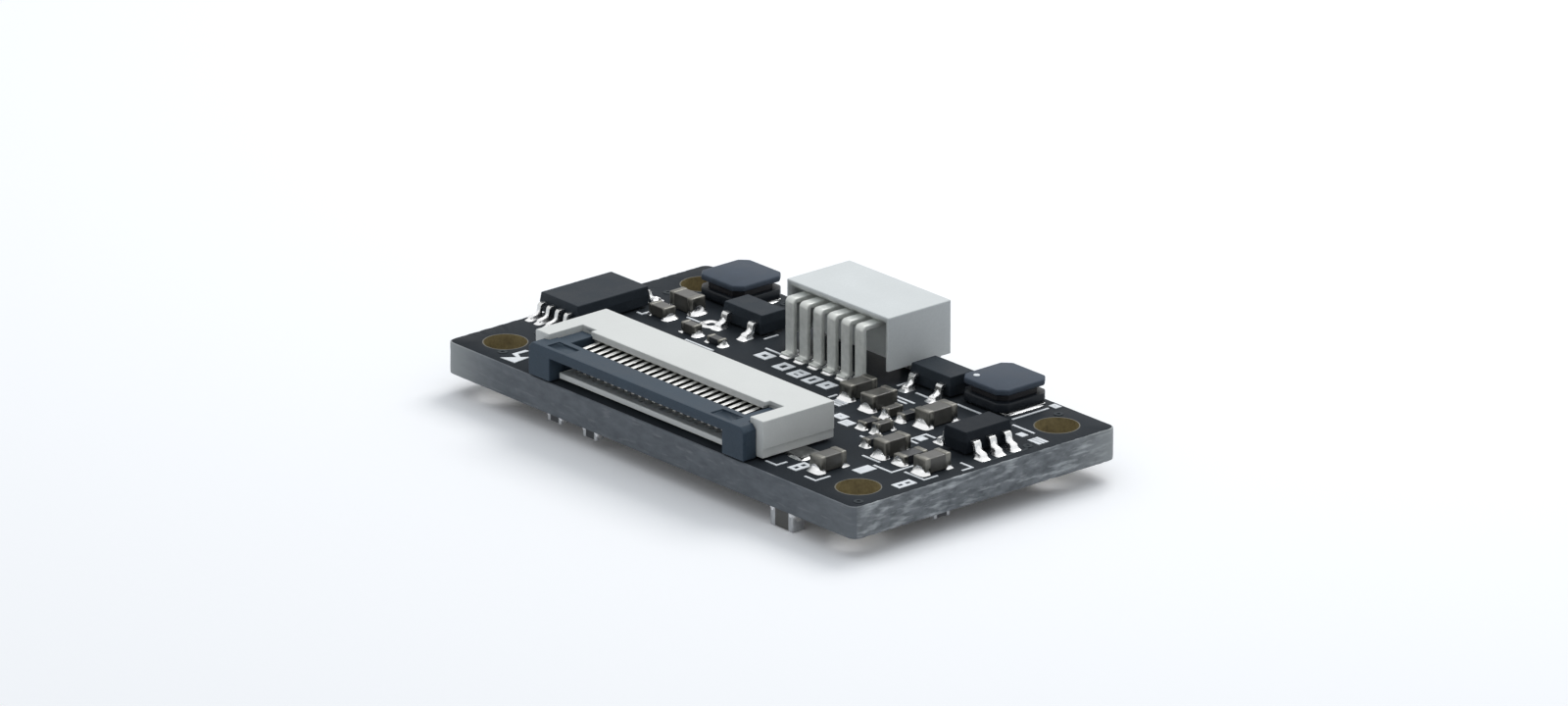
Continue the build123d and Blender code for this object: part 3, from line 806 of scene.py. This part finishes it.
# Small plated holes that the mask covers on the upper face
VIAS = [
    (-11.75, -7.15), (-9.6, -5.2), (-12.6, -4.2), (-10.7, -2.4), (-9.6, -1.3), (-10.4, 0.2), (-8.9, 0.1),
    (2.6, 2.9), (6.6, 0.2), (7.5, 0.45), (9.4, -4.4), (14.2, -7.4), (10.4, 2.6), (10.3, -1.0),
    (7.0, 4.1), (6.3, 7.4), (11.7, 7.2), (-5.0, 6.9), (-6.6, 6.4), (-8.0, 7.3), (-12.9, 4.1), (-4.3, 5.3),
    (13.9, 3.3),
]
VIA_RADIUS = 0.24
VIA_HOLE_RADIUS = VIA_RADIUS * 0.38
VIA_RISE = 0.012
# Tracks on the upper face that start at no contact
LONE_TRACKS = [
    [(-12.6, -4.2), (-11.4, -4.2), (-10.9, -3.7), (-10.7, -2.4)], [(-9.6, -5.2), (-9.9, -4.9), (-9.9, -3.2)],
    [(-8.0, 7.3), (-6.9, 7.3), (-6.6, 6.4)], [(-12.9, 4.1), (-11.9, 4.1), (-11.5, 4.5)],
    [(10.4, 2.6), (10.4, 4.0), (11.3, 4.9)], [(13.9, 3.3), (14.2, 2.9), (14.2, 0.3)],
    [(7.0, 4.1), (6.6, 4.5), (6.6, 6.9)],
]
# Tracks from the flat cable's contacts: of every four contacts, the last has none
BUS_GROUP = 4
BUS_RUN = 0.5
BUS_LEAN = 0.45
BUS_STAGGER = 0.5
# Tracks from the processor's pads: a straight run, a fan and a straight tail
PADS_TO_A_SIDE = 12
PAD_PITCH = 0.5
PAD_OVERLAP = 0.1
PAD_RUN = 0.35
PAD_STAGGER = 0.45
PAD_FAN = 0.25
PAD_TAIL = 0.5
# Test pads below the board: rows (first x, y, count) and single ones
TEST_PAD_ROWS = [(-11.5, -3.4, 3), (8.2, 3.4, 4), (-11.5, 3.4, 3)]
TEST_PAD_PITCH = 1.3
SINGLE_TEST_PADS = [(9.2, -3.0), (10.6, -4.4)]


def upper_tracks():
    """Copper under the mask: runs from the flat cable's contacts, and covered holes."""
    mesh = bmesh.new()
    under, top = BOARD_HIGH.z - BURIED, BOARD_HIGH.z + TRACK_HEIGHT
    ends = []
    tails = islands("ffc_contacts")
    for i, (low, high) in enumerate(tails):
        if i % BUS_GROUP == BUS_GROUP - 1:
            continue
        x, y = (low.x + high.x) / 2, high.y
        lean = -BUS_LEAN if i < len(tails) / 2 else BUS_LEAN
        bend = y + BUS_RUN + BUS_LEAN
        ends.append((x + lean, bend + BUS_STAGGER * (1 + i % 3)))
        add_track(mesh, [(x, y), (x, y + BUS_RUN), (x + lean, bend), ends[-1]], TRACK_WIDTH, under, top)
    for points in LONE_TRACKS:
        add_track(mesh, points, TRACK_WIDTH, under, top)
    for x, y in VIAS + ends:
        add_ring(mesh, x, y, VIA_RADIUS, VIA_HOLE_RADIUS, under, top + VIA_RISE)
    finish_piece("upper_tracks", mesh, ["track"], smooth=30)


def underside_tracks():
    """Copper under the mask below the board: a short run from each processor pad to a hole."""
    mesh = bmesh.new()
    half = box_in_mm("processor_body")[1].x
    buried, surface = BOARD_LOW.z + BURIED, BOARD_LOW.z - TRACK_HEIGHT
    for c, s in ((1, 0), (0, 1), (-1, 0), (0, -1)):
        for i in range(PADS_TO_A_SIDE):
            offset = (i - (PADS_TO_A_SIDE - 1) / 2) * PAD_PITCH
            run = PAD_RUN + PAD_STAGGER * (i % 3)
            fan = offset * PAD_FAN
            bend = half + run + abs(fan)
            path = [(half - PAD_OVERLAP, offset), (half + run, offset), (bend, offset + fan),
                    (bend + PAD_TAIL, offset + fan)]
            placed = [(x * c - y * s, x * s + y * c) for x, y in path]
            add_track(mesh, placed, TRACK_WIDTH, buried, surface)
            add_ring(mesh, *placed[-1], VIA_RADIUS, VIA_HOLE_RADIUS, buried, surface - VIA_RISE)
    finish_piece("underside_tracks", mesh, ["track"], smooth=30)


def test_pads():
    mesh = bmesh.new()
    rows = [(x + TEST_PAD_PITCH * k, y) for x, y, count in TEST_PAD_ROWS for k in range(count)]
    for x, y in rows + SINGLE_TEST_PADS:
        add_disc(mesh, x, y, radius=0.42, z0=BOARD_LOW.z + BURIED, z1=BOARD_LOW.z - 0.03)
    finish_piece("underside_test_pads", mesh, ["solder"], smooth=30)


def ring_pad():
    """A tinned ring pad with an open hole beside the left regulator."""
    mesh = bmesh.new()
    add_ring(mesh, x=-8.15, y=2.75, outer=0.55, inner=0.22, z0=BOARD_HIGH.z - BURIED,
             z1=BOARD_HIGH.z + 0.03, steps=30, crown=0.07)
    finish_piece("ring_pad", mesh, ["solder"], smooth=50)


# Chips, leads, drums and chip parts

END_CAP_ROUND = 0.075


def chip_names(prefix):
    return sorted(n for n in nodes if n.startswith(prefix) and n.split("_")[-1].isdigit())


CAPACITORS = chip_names("capacitor_") + ["under_capacitor"]
RESISTORS = chip_names("resistor_") + chip_names("under_resistor_")


def end_caps(node, name, finish="end_cap"):
    """Rounded plated ends over each chip part, in place of the plain cups."""
    mesh = bmesh.new()
    for low, high in islands(node):
        add_rounded_box(mesh, low, high, END_CAP_ROUND)
    finish_piece(name, mesh, [finish], smooth=50, replaces=[node])


# Solder climbs nearly the whole end of a low chip part and half the end of a taller one
LOW_PART = 0.5
LOW_PART_CLIMB = 0.92
TALL_PART_CLIMB = 0.5
# How high it climbs elsewhere on a plated cup, and how far it runs out
CUP_SIDE_CLIMB = 0.25
CUP_SIDE_SPARE = 0.06
CUP_END_SPARE = 0.12
CUP_END_SHARE = 0.12
CUP_INNER_CLIMB = 0.03
CUP_INNER_SPARE = -0.02


def solder_piece(name, mesh):
    finish_piece(name, mesh, ["solder"], smooth=70)


def chip_solder(name, node, base=0.0, up=1):
    """Solder at the outer end of every plated cup of a node."""
    mesh = bmesh.new()
    middles = [sum(box_in_mm(part), Vector()) / 2 for part in CAPACITORS + RESISTORS]
    for low, high in islands(node):
        middle = (low + high) / 2
        out = middle - min(middles, key=lambda place: (place - middle).length)
        axis = int(abs(out.x) <= abs(out.y))
        end = side_towards(axis, out[axis] > 0)
        height = high.z - low.z
        climb = LOW_PART_CLIMB if height <= LOW_PART else TALL_PART_CLIMB
        spares = by_side(CUP_SIDE_SPARE, end, CUP_END_SPARE + CUP_END_SHARE * height, CUP_INNER_SPARE)
        heights = by_side(height * CUP_SIDE_CLIMB, end, height * climb, CUP_INNER_CLIMB)
        add_collar(mesh, low, high, spares, heights, base, up, crown=0.3)
    solder_piece(name, mesh)


# Solder on a lead, as shares of its spare at the sides and of its climb at the heel
TOE_SPARE = 2.6
HEEL_SPARE = 0.8
LEAD_SIDE_CLIMB = 0.5
TOE_CLIMB = 0.32


def foot_solder(mesh, name, foot_length, climb, spare):
    """Solder boots on the leads of a chip: high at the heel, low at the toe."""
    low_body, high_body = box_in_mm(f"{name}_body")
    for low, high in islands(f"{name}_leads"):
        middle = (low + high) / 2
        axis = int(middle.y < low_body.y or middle.y > high_body.y)
        beyond = middle[axis] > high_body[axis]
        low, high = list(low), list(high)
        if beyond:
            low[axis] = high[axis] - foot_length
        else:
            high[axis] = low[axis] + foot_length
        toe = side_towards(axis, beyond)
        spares = by_side(spare, toe, spare * TOE_SPARE, spare * HEEL_SPARE)
        add_collar(mesh, low, high, spares, by_side(climb * LEAD_SIDE_CLIMB, toe, climb * TOE_CLIMB, climb))


def lead_solder():
    mesh = bmesh.new()
    for side, climb in (("left", 0.5), ("centre", 0.5), ("right", 0.6)):
        foot_solder(mesh, f"{side}_regulator", foot_length=0.45, climb=climb, spare=0.1)
    foot_solder(mesh, "memory_chip", foot_length=0.6, climb=0.42, spare=0.07)
    solder_piece("lead_solder", mesh)


def wire_socket_solder():
    foot_length = 0.75
    mesh = bmesh.new()
    for low, high in islands("wire_socket_pins"):
        add_collar(mesh, low, (high.x, low.y + foot_length), spares=(0.06, 0.06, 0.12, 0.1),
                   heights=(0.12, 0.12, 0.1, 0.26))
    for low, high in islands("wire_socket_hold_downs"):
        inner = LEFT if low.x > 0 else RIGHT
        add_collar(mesh, low, high, by_side(0.14, inner, 0.0), by_side(0.2, inner, 0.35))
    solder_piece("wire_socket_solder", mesh)


def flat_cable_solder():
    gap, foot_length = 0.04, 0.42
    mesh = bmesh.new()
    body_low, body_high = box_in_mm("ffc_housing")
    for low, high in islands("ffc_hold_downs"):
        inner = LEFT if high.x > body_high.x else RIGHT
        x0, x1 = (body_high.x + gap, high.x) if inner == LEFT else (low.x, body_low.x - gap)
        add_collar(mesh, (x0, low.y), (x1, high.y), (0.14, 0.14, 0.12, 0.12),
                   by_side(0.12, inner, 0.14, 0.1), crown=0.3)
    for low, high in islands("ffc_contacts"):
        add_collar(mesh, (low.x, high.y - foot_length), high, spares=(0.03, 0.03, 0.03, 0.16),
                   heights=(0.12, 0.12, 0.2, 0.07), steps=16, rings=4)
    solder_piece("flat_cable_solder", mesh)


def inductor_solder():
    mesh = bmesh.new()
    for side in ("left", "right"):
        core_low, core_high = box_in_mm(f"{side}_inductor_core")
        for low, high in islands(f"{side}_inductor_pads"):
            out = RIGHT if low.x + high.x > core_low.x + core_high.x else LEFT
            add_collar(mesh, low, high, by_side(0.03, out, 0.07), by_side(0.08, out, 0.1), crown=0.6)
    solder_piece("inductor_solder", mesh)


# Upper flange of a drum in plain ferrite, with painted shade on the ferrite below it, and the dot that marks
# its start of winding
DRUM_CROWN = 0.26
DRUM_ROUND = 0.09
DOT_INSET = 0.62
DOT_RADIUS = 0.16


def inductor_pieces():
    for side in ("left", "right"):
        core = f"{side}_inductor_core"
        mesh = welded(core)
        soften(mesh, DRUM_ROUND)
        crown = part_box(core)[1].z / MM - DRUM_CROWN
        for face in mesh.faces:
            # Faces below the upper flange get the darker ferrite, as painted shade
            face.material_index = int(face.calc_center_median().z < crown)
        finish_piece(f"{side}_drum_core", mesh, ["ferrite", "shaded_ferrite"], replaces=[core])
        dress(f"{side}_inductor_winding", "winding", radius=0.03)
        dress(f"{side}_inductor_pads", "tin", radius=0.02)
    low, high = box_in_mm("right_inductor_core")
    dot = bmesh.new()
    add_disc(dot, low.x + DOT_INSET, low.y + DOT_INSET, DOT_RADIUS, high.z - BURIED, high.z + INK_THICKNESS)
    finish_piece("inductor_dot", dot, ["ink"], smooth=0)


# The wire socket's side walls beside its pins, and its rounding
SOCKET_WALL = 0.4
SOCKET_SLOPE = 0.25
SOCKET_ROUND = 0.06
# Corners this near to a plane lie on it
ON_INNER_PLANE = 0.01
ON_OUTER_PLANE = 0.001


def socket_piece():
    """The wire socket's housing, with its side walls sloped inwards beside the pins."""
    mesh = welded("wire_socket_housing")
    join_flat_faces(mesh)
    low, high = box_in_mm("wire_socket_housing")
    inner = [edge for edge in mesh.edges
             if all(abs(v.co.y - low.y) < ON_INNER_PLANE
                    and abs(abs(v.co.x) - high.x + SOCKET_WALL) < ON_INNER_PLANE for v in edge.verts)]
    round_edges(mesh, inner, SOCKET_SLOPE, segments=1)

    def walls(vert):
        outer = zip("xxyyz", (low.x, high.x, low.y, high.y, high.z))
        return {(axis, wall) for axis, wall in outer if abs(getattr(vert.co, axis) - wall) < ON_OUTER_PLANE}

    rims = [edge for edge in mesh.edges if len(walls(edge.verts[0]) & walls(edge.verts[1])) > 1]
    round_edges(mesh, rims, SOCKET_ROUND)
    even_shading(finish_piece("wire_socket_shell", mesh, ["socket"], replaces=["wire_socket_housing"]))


# A contact's face that looks this much along x was cut from the strip
CUT_SIDE_FACING = 0.9


def contact_finish():
    """Bright plating on the contacts; the sides that were cut are darker, as bare cut metal and as painted
    shade in the gaps between the contacts.
    """
    dress("ffc_contacts", "contact", radius=0.025)
    data = nodes["ffc_contacts"].data
    data.materials.append(MATERIALS["cut_side_and_shade"])
    for face in data.polygons:
        face.material_index = int(abs(face.normal.x) > CUT_SIDE_FACING)


def dressed_nodes():
    for name in ("memory_chip", "left_regulator", "centre_regulator", "right_regulator"):
        # The right regulator takes the darker compound, as painted shade
        dress(f"{name}_body", "chip_matt_shaded" if name == "right_regulator" else "chip", radius=0.05)
        dress(f"{name}_leads", "tin", radius=0.03)
    for node, finish, radius in (
            ("processor_body", "chip", 0.06), ("processor_pads", "tin", 0.01),
            ("wire_socket_pins", "pin", 0.08), ("wire_socket_hold_downs", "tin", 0.03),
            ("ffc_hold_downs", "dull_tin", 0.03)):
        dress(node, finish, radius)
    contact_finish()
    for node in CAPACITORS:
        dress(node, "capacitor", radius=0.05)
    for node in RESISTORS:
        dress(node, "resistor", radius=0.03)


# Stage

WHITE = (1, 1, 1)
FLOOR_REACH = 1200 * MM
FLOOR_BOUNCE = (0.70, 0.72, 0.75)
FLOOR_SEEN = (0.99, 0.985, 0.99)
FLOOR_GLOW = 0.05
SKY_LOW = 0.06
SKY_RISE = 0.98
SKY_COLOUR = (0.90, 0.95, 1.0)


def seen_mask(tree):
    """1 for what the camera sees, mirrored or not, and 0 for bounced light."""
    path = tree.nodes.new("ShaderNodeLightPath")
    seen = math_node(tree, "MAXIMUM", path.outputs["Is Camera Ray"], path.outputs["Is Glossy Ray"])
    return math_node(tree, "MAXIMUM", seen, path.outputs["Is Transmission Ray"])


def make_floor():
    """A pale floor that shows white, and keeps the object's shadow."""
    data = bpy.data.meshes.new("floor")
    corners = [(-1, -1), (1, -1), (1, 1), (-1, 1)]
    data.from_pydata([(x * FLOOR_REACH, y * FLOOR_REACH, cad_box[0].z) for x, y in corners],
                     [], [(0, 1, 2, 3)])
    floor = link_object("floor", data)
    finish = Finish("pale_floor", roughness=0.9, specular=0.1)
    seen = seen_mask(finish.tree)
    finish.colour(seen, FLOOR_BOUNCE, FLOOR_SEEN)
    glow = math_node(finish.tree, "MULTIPLY", seen, FLOOR_GLOW)
    finish.feed_shader(Emission_Strength=glow, Emission_Color=WHITE)
    data.materials.append(finish.material)


def make_world():
    """A dim surround that brightens overhead, and shows white behind the object."""
    world = bpy.data.worlds.new("studio")
    world.use_nodes = True
    tree = world.node_tree
    background = tree.nodes["Background"]
    place = tree.nodes.new("ShaderNodeTexCoord")
    axes = tree.nodes.new("ShaderNodeSeparateXYZ")
    tree.links.new(place.outputs["Generated"], axes.inputs[0])
    rise = math_node(tree, "MAXIMUM", axes.outputs["Z"], 0.0)
    lit = math_node(tree, "ADD", math_node(tree, "MULTIPLY", rise, SKY_RISE), SKY_LOW)
    seen = seen_mask(tree)
    feed_node(tree, background, Strength=math_node(tree, "MAXIMUM", seen, lit),
              Color=mix_colours(tree, seen, SKY_COLOUR, WHITE))
    bpy.context.scene.world = world


def make_lamp(name, place, size, power):
    """A square softbox that looks at the origin, its place in millimetres."""
    data = bpy.data.lights.new(name, "AREA")
    data.shape = "SQUARE"
    data.size = size * MM
    data.energy = power
    lamp = link_object(name, data)
    lamp.location = Vector(place) * MM
    lamp.rotation_euler = (-lamp.location).to_track_quat("-Z", "Y").to_euler()


def make_camera():
    azimuth, elevation = math.radians(CAMERA_AZIMUTH), math.radians(CAMERA_ELEVATION)
    back = Vector((math.sin(azimuth) * math.cos(elevation),
                   -math.cos(azimuth) * math.cos(elevation), math.sin(elevation)))
    right = Vector((math.cos(azimuth), math.sin(azimuth), 0))
    up = back.cross(right)
    data = bpy.data.cameras.new("camera")
    data.sensor_width = SENSOR_WIDTH
    data.lens = CAMERA_LENS
    data.clip_start, data.clip_end = 0.01, 10
    camera = link_object("camera", data)
    place = (back * CAMERA_DISTANCE + right * CAMERA_ASIDE + up * CAMERA_ABOVE) * MM
    turn = Matrix((right, up, back)).transposed().to_4x4()
    camera.matrix_world = Matrix.Translation(place) @ turn
    bpy.context.scene.camera = camera


make_world()
make_floor()
make_camera()
make_lamp("key_softbox", place=(-25, 95, 130), size=90, power=0.11)
make_lamp("front_fill", place=(-60, -150, 60), size=60, power=0.003)

board_piece()
printed_marks()
upper_tracks()
underside_tracks()
test_pads()
ring_pad()
softened_piece("ffc_housing", "flat_cable_housing", "ivory", radius=0.045, shortest=0.3)
softened_piece("ffc_slider", "flat_cable_slider", "slate", radius=0.05, shortest=0.3, body="slider")
socket_piece()
inductor_pieces()
dressed_nodes()
end_caps("capacitor_terminals", "capacitor_end_caps")
end_caps("resistor_terminals", "resistor_end_caps")
# Below the board the ends take the lighter plating, as painted light
end_caps("under_terminals", "underside_end_caps", "lit_end_cap")
chip_solder("capacitor_solder", "capacitor_terminals")
chip_solder("resistor_solder", "resistor_terminals")
chip_solder("underside_solder", "under_terminals", base=BOARD_LOW.z, up=-1)
lead_solder()
wire_socket_solder()
flat_cable_solder()
inductor_solder()

bpy.context.scene.view_settings.view_transform = "Standard"
